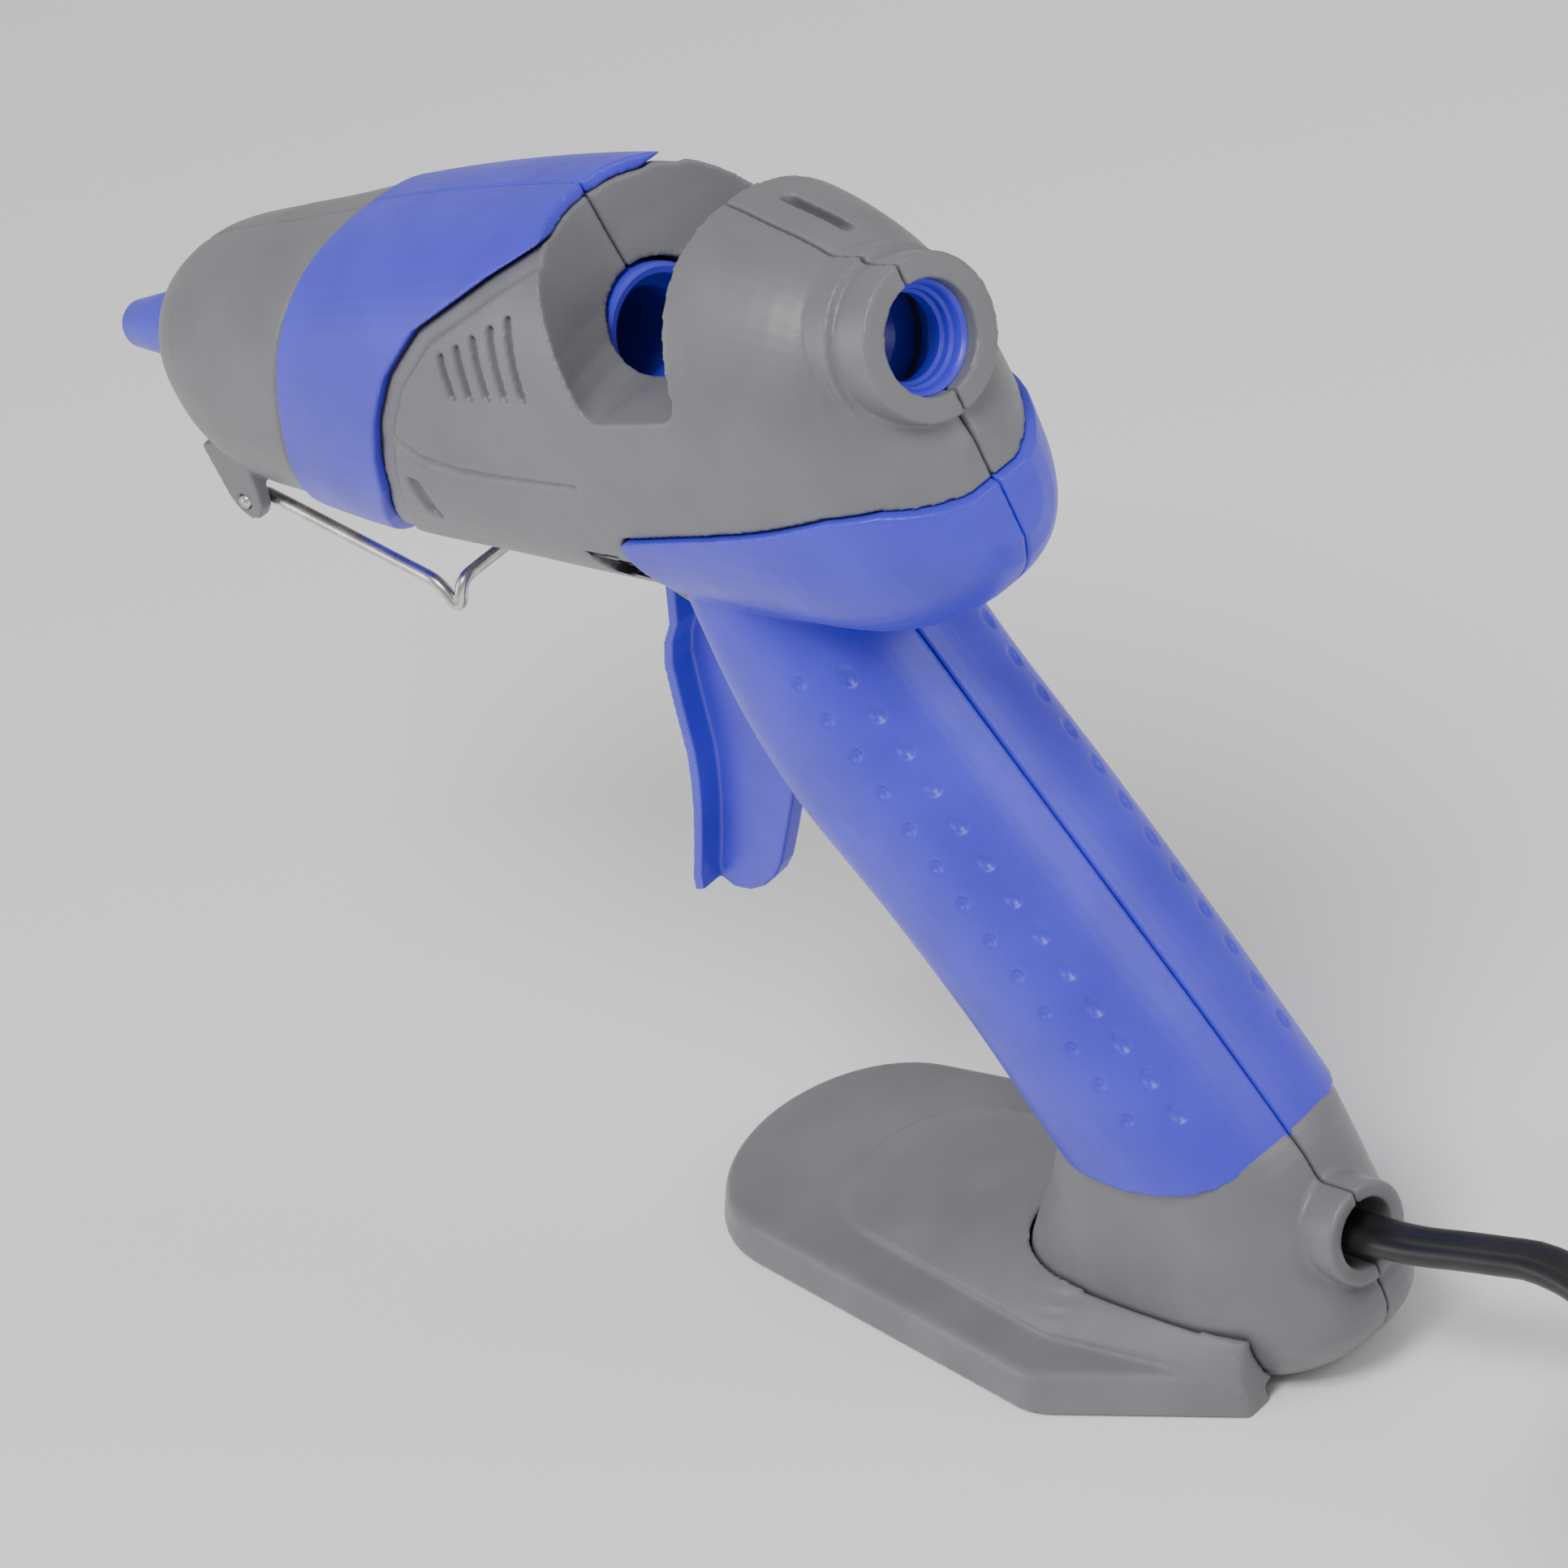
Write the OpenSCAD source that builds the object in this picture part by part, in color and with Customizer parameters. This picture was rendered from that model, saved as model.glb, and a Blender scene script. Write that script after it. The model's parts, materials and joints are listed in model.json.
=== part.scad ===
// Hot melt glue gun that stands on its own base: clamshell body, trigger feed, heater, wire rest and power cord.
// The barrel frame has its origin at the centre of the rear collar, x along the barrel to the rear and z up.

/* [Barrel] */
// Height of the rear collar's centre above the table
collar_height = 175.4; // [174:0.1:177]
// Angle by which the nozzle points below level
barrel_tilt = 10; // [9.5:0.1:10.5]
// Radius of the rear collar
collar_r = 12; // [11.5:0.1:12.4]
// Radius of the hole in the rear collar
collar_hole_r = 8.15; // [8:0.05:8.3]
// Radius of the channel that the glue stick runs in
channel_r = 11; // [10.8:0.1:11.2]
// Radius of the passage for a glue stick
stick_r = 6.2; // [6:0.1:6.4]

/* [Shells] */
// Thickness of the moulded walls
wall = 2.6; // [2.4:0.1:2.8]
// Thickness of the soft blue skins
skin = 1.4; // [1.2:0.1:1.5]
// Half of the gap between the two shells
split = 0.05; // [0.03:0.01:0.1]

/* [Handle] */
// Angle of the handle from upright
handle_lean = 30; // [29.5:0.1:30.5]
// Half of the handle's width
handle_w = 18; // [17.5:0.1:18.2]
// Depth of the handle from front to back
handle_d = 35; // [34.5:0.1:35.5]

/* [Base] */
// Thickness of the base plate
base_t = 6.4; // [6:0.1:7]
// Height of the ridge round the foot's socket
ridge_h = 12.5; // [12:0.1:13]

/* [Trigger] */
// Length of the lever arm above the trigger's pivot
arm_r = 24; // [23.5:0.1:24.5]
// Radius of the pivot pins
pin_r = 1.5; // [1.4:0.05:1.6]

/* [Cord] */
// Width of the flat two-core cord
cord_w = 7; // [6.8:0.1:7]
// Thickness of the flat two-core cord
cord_t = 3.6; // [3.4:0.1:3.6]
// Height of the cord outlet above the table
gland_z = 25.5; // [25:0.1:26]

/* [Hidden] */
$fn = 48;
gray = [0.42, 0.42, 0.44];
blue = [0.27, 0.27, 0.80];
steel = [0.75, 0.74, 0.72];
rubber = [0.08, 0.08, 0.08];
axis_x = 47;
play = 0.05;
far = 200;
// Head outline seen from the side, in the barrel frame
head_side = [[-134, 18.5], [-100, 21.5], [-66, 23], [-45, 23], [-32, 21.4], [-25, 18.8], [-14, 15], [-2, -13.5],
    [-2, -22], [-3.5, -32], [-11, -39.5], [-24, -44], [-75, -38], [-100, -34], [-134, -29]];
// The same outline for the hollow inside
hollow_side = [[-124, -16], [-64, -16], [-30, -16], [-12, -16], [-5.5, -18], [-6.5, -31], [-13, -36.5],
    [-25, -41], [-75, -35], [-100, -31], [-124, -27]];
// Half widths of the head, from the nose to the heel
head_plan = [[-134, 21], [-100, 23.5], [-66, 24.6], [-40, 24.4], [-24, 22.8], [-12, 19], [-5, 14], [-2, 8]];
nose_drop = 4;
nose_out = [[-176, 12], [-172, 16.5], [-165, 20.2], [-150, 22.6], [-128, 24]];
nose_in = [[-173, 0], [-173, 9.5], [-170, 13.8], [-164, 17.2], [-150, 19.6], [-126, 21.2], [-126, 0]];
hood_region = [[-109, 26], [-127, 8], [-157, -27], [-161, -40], [-136, -40], [-120, -22], [-113, -14],
    [-104.5, -1], [-98, 6], [-88, 13.5], [-71, 19.5], [-58, 24], [-58, 34], [-109, 34]];
cuff_region = [[-59, -20.5], [-30, -19], [8, -22], [8, -52], [-40, -52], [-52, -33], [-60, -24]];
window_side = [[-68, 60], [-61.5, 9], [-60.5, 5], [-58, 2], [-54, 0.2], [-51, 0], [-34, 0], [-32.6, 0.6],
    [-32, 2], [-32, 60]];
mouth_side = [[-97, -20], [-66, -20], [-57, -36], [-46, -66], [-100, -60]];
window_front = -62;
window_back = -30;
foot_side = [[4, 3], [4, 7], [9, 13], [17, 25], [26, 40], [40, 58], [58, 56], [67.2, 40.1], [72, 31.6],
    [75.5, 24], [76, 13], [71, 4.5], [62, 0.6], [42, 0.6], [42, 3]];
foot_mid = 40;
foot_half = 36;
foot_w = 17;
// Handle's back line starts here, and its length along the lean
handle_x = 26.9;
handle_z = 109.9;
handle_top = -40;
handle_end = 92;
grip_z = 39.4;
// Base outline: front radius, widest place and rear end
base_front_x = -39;
base_front_r = 24;
base_wide_x = 34.5;
base_wide_w = 33.4;
base_rear_x = 60.4;
base_rear_w = 19.4;
// Pivots in the barrel frame
pivot_a = -64;
pivot_u = -42;
arm_lean = 11;
tip_a = pivot_a + arm_r * sin(arm_lean);
tip_u = pivot_u + arm_r * cos(arm_lean);
carriage_a = -22;
stand_a = -167;
stand_u = -22.6;
stand_half = 12;
wire_r = 1.1;
nozzle_hole_r = 5.4;
gland_r = 8;
gland_hole_r = 5.4;
gland_x = 75.6;
screw_r = 1.7;
screw_spots = [[-112, -24], [-84, -28], [-42, -31], [-16, -27]];
handle_screws = [20, 62];
base_screw_x = [14, 32];
// Coil of stored cord
coil_x = 162.6;
coil_y = 19;
coil_in = 24.7;
coil_out = 53.1;
coil_h = 7.6;
cord_path = [[62, 0, 25.5], [70, 0, 25.5], [78, 0, 25.6], [86, 0.4, 26], [94, 1.4, 26.8], [101, 2.4, 27.3],
    [108, 3.2, 27.6], [117.2, 2.3, 26.6], [124.4, -1.3, 23.8], [130.2, -6.7, 19.6], [135.2, -13, 15],
    [140.4, -19.4, 11], [146.2, -25, 7.4], [153.4, -29, 3.6], [162.6, -30.5, 1.9]];
tail_path = [[167.6, -28.2, 9.4], [179, -21.8, 10.8], [188, -11.4, 11.8], [193, 0.8, 12.4], [194.8, 11.8, 12.6]];
plug_x = 194.8;
plug_y = 11.8;
plug_z = 7.7;
plug_turn = 77.4;

// Superellipse outline with its own upper and lower half heights
function oval(w, up, down, n, steps = 48) = [for (i = [0:steps - 1])
    let (t = 360 * i / steps, c = cos(t), s = sin(t))
    [w * sign(c) * pow(abs(c), 2 / n), (s > 0 ? up : down) * sign(s) * pow(abs(s), 2 / n)]];

function mirrored(list, inset) = concat([for (p = list) [p[0], max(p[1] - inset, 1)]],
    [for (i = [len(list) - 1:-1:0]) [list[i][0], -max(list[i][1] - inset, 1)]]);

function arc(x, y, r, from, to, steps) = [for (i = [0:steps])
    let (t = from + (to - from) * i / steps) [x + r * cos(t), y + r * sin(t)]];

function base_half(grow) = concat(arc(base_front_x, 0, base_front_r + grow, 180, 98, 10),
    [[base_wide_x - 10, base_wide_w - 1.6 + grow], [base_wide_x, base_wide_w - 0.6 + grow],
    [base_wide_x + 8, base_wide_w - 4 + grow], [base_rear_x, base_rear_w + grow]]);

function both_sides(half) = concat(half, [for (i = [len(half) - 1:-1:0]) [half[i][0], -half[i][1]]]);

module in_barrel() {
    translate([axis_x, 0, collar_height])
        rotate([0, -barrel_tilt, 0])
            children();
}

// Side outlines (barrel x, barrel z) become plates of a given half thickness
module plate(points, half = 60) {
    rotate([90, 0, 0])
        linear_extrude(height = 2 * half, center = true)
            polygon(points);
}

module along_barrel(from, to, drop = 0) {
    translate([from, 0, drop])
        rotate([0, 90, 0])
            linear_extrude(height = to - from)
                children();
}

module rod(from, to, r, drop = 0) {
    translate([from, 0, drop])
        rotate([0, 90, 0])
            cylinder(h = to - from, r = r);
}

module cross_pin(a, u, r, half) {
    translate([a, half, u])
        rotate([90, 0, 0])
            cylinder(h = 2 * half, r = r);
}

// Handle frame: x is to the back, y across, z up along the handle
module in_handle() {
    translate([handle_x, 0, handle_z])
        rotate([0, -handle_lean, 0])
            children();
}

module handle_bar(inset, top, end, n = 2.6) {
    in_handle()
        translate([-handle_d / 2, 0, -end])
            linear_extrude(height = end - top)
                rotate(90)
                    polygon(oval(handle_w - inset, handle_d / 2 - inset, handle_d / 2 - inset, n));
}

module head_form(inset) {
    intersection() {
        plate(head_side);
        linear_extrude(height = 2 * far, center = true)
            polygon(mirrored(head_plan, inset));
        along_barrel(-far, 20)
            rotate(90)
                polygon(oval(24.8 - inset, 23.4 - inset, 44 - inset, 2.5));
    }
}

module nose_form() {
    translate([0, 0, -nose_drop])
        rotate([0, 90, 0])
            rotate_extrude($fn = 64)
                polygon([for (p = concat([[-176, 0]], nose_out, [[-128, 0]])) [p[1], p[0]]]);
}

module nose_hollow() {
    translate([0, 0, -nose_drop])
        rotate([0, 90, 0])
            rotate_extrude($fn = 64)
                polygon([for (p = nose_in) [p[1], p[0]]]);
}

module collar_form() {
    rod(-13, -7, collar_r + 1.2);
    rod(-8, 0, collar_r);
    rod(-30, -12, collar_r);
}

module foot_form(inset) {
    intersection() {
        plate(foot_side);
        translate([foot_mid, 0, 0])
            linear_extrude(height = far)
                polygon(oval(foot_half - inset, foot_w - inset, foot_w - inset, 3));
    }
}

module throat(half) {
    in_barrel()
        plate([[-92, -33], [-60, -36], [-36, -43], [-50, -62], [-72, -58], [-84, -44]], half);
}

module body_form() {
    in_barrel() {
        head_form(skin);
        nose_form();
        collar_form();
    }
    handle_bar(skin, handle_top, handle_end);
    throat(13);
    foot_form(0);
    translate([60, 0, gland_z])
        rotate([0, 90, 0])
            cylinder(h = gland_x - 60, r = gland_r);
}

module body_hollow() {
    in_barrel() {
        nose_hollow();
        intersection() {
            plate(hollow_side);
            linear_extrude(height = 2 * far, center = true)
                polygon(mirrored(head_plan, skin + wall));
            along_barrel(-140, 0)
                rotate(90)
                    polygon(oval(24.8 - skin - wall, 20, 44 - skin - wall, 2.5));
        }
        rod(-130, window_front - 3.5, 17);
        plate(window_side, 40);
        rod(window_front - 5, -26, channel_r);
        rod(-27.5, -5, 10.5);
        rod(-9, 5, collar_hole_r);
        // Slot under the channel for the carriage's arm
        plate([[-46, -8], [-14, -8], [-14, -18], [-46, -18]], 3);
        // Mouth for the trigger
        plate(mouth_side, 7.4);
        cross_pin(pivot_a, pivot_u, pin_r + 0.02, 11);
        rod(-180, -160, nozzle_hole_r);
    }
    handle_bar(skin + wall, -46, 84);
    in_barrel()
        plate([[-97, -50], [-30, -50], [-40, -112], [-97, -112]], 2.4);
    intersection() {
        plate([[12, 6.5], [22, 25], [32, 42], [62, 42], [70, 30], [72, 22], [72, 12], [66, 6.5]]);
        translate([foot_mid, 0, 0])
            linear_extrude(height = far)
                polygon(oval(foot_half - wall, foot_w - wall, foot_w - wall, 3));
    }
    translate([50, 0, gland_z])
        rotate([0, 90, 0])
            cylinder(h = 40, r = gland_hole_r);
}

module half_space(side) {
    translate([-500, side > 0 ? split : -500 - split, -100])
        cube([1000, 500, 500]);
}

module stand_lugs() {
    in_barrel()
        for (side = [-1, 1])
            difference() {
                translate([0, side * (stand_half + 2.4), 0])
                    plate([[-171, -12], [-161, -12], [-162, -20], [-164, -25.2], [-166.5, -26], [-169, -25.2],
                        [-170.5, -22]], 1.2);
                cross_pin(stand_a, stand_u, wire_r + 0.1 + play, far);
            }
}

module bosses() {
    in_barrel()
        for (p = screw_spots)
            cross_pin(p[0], p[1], 3.6, 19);
    in_handle()
        for (s = handle_screws)
            translate([-handle_d + 11, 15, -s])
                rotate([90, 0, 0])
                    cylinder(h = 30, r = 3.2);
}

module screw_cuts(r) {
    in_barrel()
        for (p = screw_spots)
            cross_pin(p[0], p[1], r, 15);
    in_handle()
        for (s = handle_screws)
            translate([-handle_d + 11, 12, -s])
                rotate([90, 0, 0])
                    cylinder(h = 24, r = r);
}

module shell(side) {
    intersection() {
        half_space(side);
        difference() {
            union() {
                difference() {
                    body_form();
                    body_hollow();
                }
                intersection() {
                    bosses();
                    union() {
                        in_barrel()
                            head_form(skin + 1);
                        handle_bar(skin + 1, handle_top, 84);
                    }
                }
                stand_lugs();
            }
            screw_cuts(screw_r + play);
            for (x = base_screw_x, y = [-8, 8])
                translate([x, y, -1])
                    cylinder(h = 8, r = screw_r + play);
            in_barrel() {
                rod(-80, -26, channel_r);
                plate([[-50, -8], [-12, -8], [-12, -23], [-74, -23], [-74, -12], [-50, -12]], 3.2);
            }
        }
    }
}

module left_shell() {
    color(gray)
        shell(-1);
}

module right_shell() {
    color(gray)
        difference() {
            shell(1);
            in_barrel()
                for (p = screw_spots)
                    translate([p[0], far, p[1]])
                        rotate([90, 0, 0])
                            cylinder(h = far - 15, r = 3.2);
            in_handle()
                for (s = handle_screws)
                    translate([-handle_d + 11, far, -s])
                        rotate([90, 0, 0])
                            cylinder(h = far - 12, r = 2.9);
        }
}

module hood(side) {
    color(blue)
        intersection() {
            half_space(side);
            in_barrel()
                difference() {
                    intersection() {
                        plate(hood_region);
                        union() {
                            intersection() {
                                plate([for (p = head_side) [p[0], p[1] + (p[1] > 0 ? skin : -skin)]]);
                                linear_extrude(height = 2 * far, center = true)
                                    polygon(mirrored(head_plan, 0));
                                along_barrel(-far, 20)
                                    rotate(90)
                                        polygon(oval(24.8, 23.4 + skin, 44 + skin, 2.5));
                            }
                            translate([0, 0, -nose_drop])
                                rotate([0, 90, 0])
                                    rotate_extrude($fn = 64)
                                        polygon([[0, -165], [21.6, -165], [23.8, -150], [25.2, -128], [0, -128]]);
                        }
                    }
                    head_form(skin - play);
                    translate([0, 0, -nose_drop])
                        rotate([0, 90, 0])
                            rotate_extrude($fn = 64)
                                polygon([for (p = concat([[-176, 0]], nose_out, [[-120, 24], [-120, 0]]))
                                    [p[1] + (p[1] > 0 ? play : 0), p[0]]]);
                    plate(window_side, 40);
                    rod(-134, -60, 19);
                }
        }
}

module grip(side) {
    color(blue)
        intersection() {
            half_space(side);
            translate([-far, -far, grip_z])
                cube(2 * far);
            difference() {
                union() {
                    difference() {
                        handle_bar(0, -34, handle_end);
                        handle_bar(skin - play, -60, 100);
                        in_handle()
                            translate([-handle_d - 1, -8, -100])
                                cube([8, 16, far]);
                    }
                    in_barrel()
                        difference() {
                            intersection() {
                                plate(cuff_region);
                                plate([for (p = head_side) [p[0] + (p[0] > -30 ? skin : 0),
                                    p[1] + (p[1] > 0 ? skin : -skin)]]);
                                linear_extrude(height = 2 * far, center = true)
                                    polygon(mirrored([for (p = head_plan) [p[0] + (p[0] > -10 ? skin : 0), p[1]]], -0.4));
                                along_barrel(-far, 20)
                                    rotate(90)
                                        polygon(oval(25.2, 23.4 + skin, 44 + skin, 2.5));
                            }
                            head_form(skin - play);
                        }
                }
                handle_bar(skin - play, -60, 100);
                in_barrel()
                    head_form(skin - play);
                throat(13 + play);
                foot_form(-play);
                in_barrel()
                    plate(mouth_side, 7.4);
                in_barrel()
                    for (p = screw_spots)
                        translate([p[0], far, p[1]])
                            rotate([90, 0, 0])
                                cylinder(h = far - 15, r = 3.2);
                in_handle()
                    for (s = handle_screws)
                        translate([-handle_d + 11, far, -s])
                            rotate([90, 0, 0])
                                cylinder(h = far - 12, r = 2.9);
            }
        }
}

module base_plate() {
    color(gray)
        difference() {
            union() {
                linear_extrude(height = base_t)
                    polygon(both_sides(base_half(0.8)));
                hull() {
                    translate([-6, 0, base_t - 1])
                        linear_extrude(height = 1)
                            polygon(both_sides(concat(arc(-14, 0, 18, 180, 100, 8), [[34, 23], [66.4, 18.6]])));
                    translate([0, 0, ridge_h - 0.5])
                        linear_extrude(height = 0.5)
                            polygon(both_sides([[6, 6], [20, 15.5], [34, 17.6], [60.4, 17.6]]));
                }
            }
            translate([foot_mid, 0, 2.9])
                linear_extrude(height = far)
                    polygon(oval(foot_half + 0.1, foot_w + 0.1, foot_w + 0.1, 3));
            translate([foot_mid, 0, -1])
                intersection() {
                    linear_extrude(height = far)
                        polygon(oval(foot_half + 0.1, foot_w + 0.1, foot_w + 0.1, 3));
                    translate([1.9, -50, 0])
                        cube([100, 100, 100]);
                }
            translate([base_rear_x, -50, -1])
                cube([100, 100, 100]);
            for (x = base_screw_x, y = [-8, 8])
                translate([x, y, -1])
                    cylinder(h = 10, r = screw_r + play);
            for (x = base_screw_x, y = [-8, 8])
                translate([x, y, -1])
                    cylinder(h = 2.2, r = 3.2);
            for (p = pad_spots())
                translate([p[0], p[1], -1])
                    cylinder(h = 2.5, r = 5.5);
        }
}

function pad_spots() = [[-50, 0], [-30, -14], [-30, 14], [30, -25], [30, 25]];

module base_pads() {
    color(rubber)
        for (p = pad_spots())
            translate([p[0], p[1], 0])
                cylinder(h = 1.5, r = 5.4);
}

module base_screws() {
    color(steel)
        for (x = base_screw_x, y = [-8, 8])
            translate([x, y, 0]) {
                cylinder(h = 6.4, r = screw_r);
                translate([0, 0, 0.2])
                    cylinder(h = 1, r = 3);
            }
}

module housing_screws() {
    color(steel) {
        in_barrel()
            for (p = screw_spots)
                translate([p[0], 15, p[1]])
                    rotate([90, 0, 0]) {
                        cylinder(h = 26, r = screw_r);
                        translate([0, 0, -2])
                            cylinder(h = 2, r = 3);
                    }
        in_handle()
            for (s = handle_screws)
                translate([-handle_d + 11, 12, -s])
                    rotate([90, 0, 0]) {
                        cylinder(h = 20, r = screw_r);
                        translate([0, 0, -2])
                            cylinder(h = 2, r = 2.7);
                    }
    }
}

// Trigger web outline and finger flange outline, in the barrel frame
web_side = [[-66.5, -38], [-64, -37.6], [-61, -38], [-60, -42], [-61, -46], [-66, -52], [-71, -60], [-75, -70],
    [-83, -84], [-91, -94], [-95, -97], [-100, -98.5], [-108, -97.5], [-112, -95], [-104, -82], [-99, -71.5],
    [-97, -63], [-93.5, -54], [-89, -49], [-84, -44], [-78, -40]];
flange_side = [[-84, -43], [-86.5, -47.5], [-92, -54], [-95.6, -62.8], [-98.4, -71.8], [-104, -82.6],
    [-112.9, -95], [-112.5, -98], [-109.5, -97.5], [-101.6, -82.2], [-96.2, -71], [-93.6, -62.2], [-90, -54.6],
    [-84.8, -48.6], [-82, -44]];

module trigger() {
    color(blue)
        in_barrel()
            difference() {
                union() {
                    plate(web_side, 1.6);
                    plate(flange_side, 5.8);
                    cross_pin(pivot_a, pivot_u, 4.4, 4.2);
                    plate([[pivot_a - 4, pivot_u], [pivot_a + 4, pivot_u], [tip_a + 3, tip_u], [tip_a - 3, tip_u]], 1.6);
                    cross_pin(tip_a, tip_u, 3, 1.6);
                }
                cross_pin(pivot_a, pivot_u, pin_r + play, 20);
                cross_pin(tip_a, tip_u, pin_r + 0.01, 20);
            }
}

module trigger_pin() {
    color(steel)
        in_barrel()
            cross_pin(pivot_a, pivot_u, pin_r, 10.9);
}

module trigger_spring() {
    color(steel)
        in_barrel()
            for (side = [-1, 1])
                translate([pivot_a, side * 3, pivot_u])
                    rotate([90, 0, 0])
                        rotate_extrude()
                            translate([5, 0])
                                circle(r = 0.5);
}

module link_pin() {
    color(steel)
        in_barrel()
            cross_pin(tip_a, tip_u, pin_r, 2.8);
}

module feed_link() {
    color(steel)
        in_barrel()
            for (side = [-1, 1])
                translate([0, side * 2.2, 0])
                    difference() {
                        plate([[tip_a - 3, tip_u - 1.6], [tip_a - 3, tip_u + 1.6], [tip_a - 1.6, tip_u + 2.6],
                            [carriage_a + 2, tip_u + 2.6], [carriage_a + 3.4, tip_u + 1.6],
                            [carriage_a + 3.4, tip_u - 1.6], [carriage_a + 2, tip_u - 2.6],
                            [tip_a - 1.6, tip_u - 2.6]], 0.45);
                        cross_pin(tip_a, tip_u, pin_r + 0.55, 20);
                        cross_pin(carriage_a, tip_u, pin_r + play, 20);
                    }
}

module feed_carriage() {
    color(blue)
        in_barrel()
            difference() {
                union() {
                    rod(-27, -16, 10);
                    plate([[-25.5, -6], [-18.5, -6], [-18.5, tip_u - 1], [-20, tip_u - 3], [-24, tip_u - 3],
                        [-25.5, tip_u - 1]], 1.6);
                }
                rod(-40, -10, stick_r + 0.2);
                cross_pin(carriage_a, tip_u, pin_r + 0.01, 20);
            }
}

module carriage_pin() {
    color(steel)
        in_barrel()
            cross_pin(carriage_a, tip_u, pin_r, 2.9);
}

module rear_guide() {
    color(blue)
        in_barrel()
            difference() {
                union() {
                    rod(-14, -2.2, collar_hole_r - play);
                    rod(-14, -5.1, 10.3);
                }
                rod(-20, 5, stick_r);
                rod(-5, 5, stick_r + 0.9);
                rod(-3.4, 5, stick_r + 1.4);
            }
}

module inlet_sleeve() {
    color(blue)
        in_barrel()
            difference() {
                union() {
                    rod(-88, -60.5, 9);
                    rod(-72, -60.5, 10.4);
                }
                rod(-100, -50, stick_r + 0.4);
                rod(-63, -50, stick_r + 1.6);
            }
}

module sleeve_clamp() {
    color(steel)
        in_barrel()
            difference() {
                rod(-86, -80, 9.8);
                rod(-90, -70, 9.02);
            }
}

module melt_chamber() {
    color([0.8, 0.8, 0.82])
        in_barrel()
            difference() {
                union() {
                    rod(-158, -88.1, 9.5);
                    translate([-150, -7, -13.6])
                        cube([50, 14, 10]);
                    rod(-164, -157, 6);
                }
                rod(-150, -80, stick_r);
                rod(-170, -149, 3);
                translate([-152, -5, -12.1])
                    cube([54, 10, 2.6]);
            }
}

module heater_cartridge() {
    color([0.9, 0.9, 0.86])
        in_barrel()
            translate([-148, -4.9, -12.05])
                cube([46, 9.8, 2.5]);
}

module heater_clip() {
    color(steel)
        in_barrel()
            difference() {
                translate([-128, -8.2, -14.5])
                    cube([10, 16.4, 10.3]);
                translate([-130, -7.05, -13.65])
                    cube([14, 14.1, 20]);
                rod(-140, -100, 9.55);
            }
}

module chamber_holders() {
    color([0.2, 0.2, 0.2])
        in_barrel()
            for (h = [[-106, 16.9], [-144, 14.6]])
                difference() {
                    rod(h[0], h[0] + 3, h[1]);
                    rod(h[0] - 1, h[0] + 4, 9.55);
                    translate([h[0] - 1, -7.1, -20])
                        cube([5, 14.2, 18]);
                }
}

module nozzle() {
    color([0.83, 0.69, 0.32])
        in_barrel()
            difference() {
                union() {
                    rod(-176, -164.1, 5);
                    translate([-199.6, 0, 0])
                        rotate([0, 90, 0])
                            cylinder(h = 23.6, r1 = 2, r2 = 5);
                }
                rod(-210, -164, 1.2);
                rod(-180, -164, 2.6);
            }
}

module nozzle_cover() {
    color(blue)
        in_barrel()
            difference() {
                translate([-198, 0, 0])
                    rotate([0, 90, 0])
                        cylinder(h = 21.5, r1 = 4, r2 = 6.9);
                translate([-199.6, 0, 0])
                    rotate([0, 90, 0])
                        cylinder(h = 23.6, r1 = 2 + play, r2 = 5 + play);
            }
}

// Wire rest: two legs and a cross bar, seen in the barrel frame
leg_a = -129;
leg_u = -39;
module wire_stand() {
    leg = [leg_a - stand_a, leg_u - stand_u];
    color(steel)
        in_barrel() {
            for (side = [-1, 1]) {
                translate([stand_a, side * stand_half, stand_u])
                    rotate([0, 90 + atan2(-leg[1], leg[0]), 0])
                        cylinder(h = norm(leg), r = wire_r);
                translate([stand_a, side * (stand_half - 1), stand_u])
                    rotate([-90 * side, 0, 0])
                        cylinder(h = 5, r = wire_r + 0.1);
                translate([leg_a, side * stand_half, leg_u - 4.5])
                    cylinder(h = 5, r = wire_r - 0.2);
            }
            cross_pin(leg_a, leg_u, wire_r + 0.1, stand_half + wire_r + 0.1);
        }
}

module cord_clamp() {
    color(rubber)
        difference() {
            translate([52, -7.5, 18])
                cube([8, 15, 5.2]);
            for (y = [-5.6, 5.6])
                translate([56, y, 10])
                    cylinder(h = 20, r = 1.2);
        }
}

module clamp_screws() {
    color(steel)
        for (y = [-5.6, 5.6])
            translate([56, y, 16]) {
                cylinder(h = 7.2, r = 1.15);
                translate([0, 0, 7.25])
                    cylinder(h = 1.4, r = 1.8);
            }
}

module lead_wires() {
    color(rubber)
        for (y = [-3, 3])
            in_handle()
                translate([-9, y, -68])
                    cylinder(h = 100, r = 1.1);
}

module crimp_sleeves() {
    color([0.85, 0.85, 0.8])
        for (y = [-3, 3])
            in_handle()
                translate([-9, y, -76])
                    cylinder(h = 7.9, r = 2.2);
}

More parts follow.
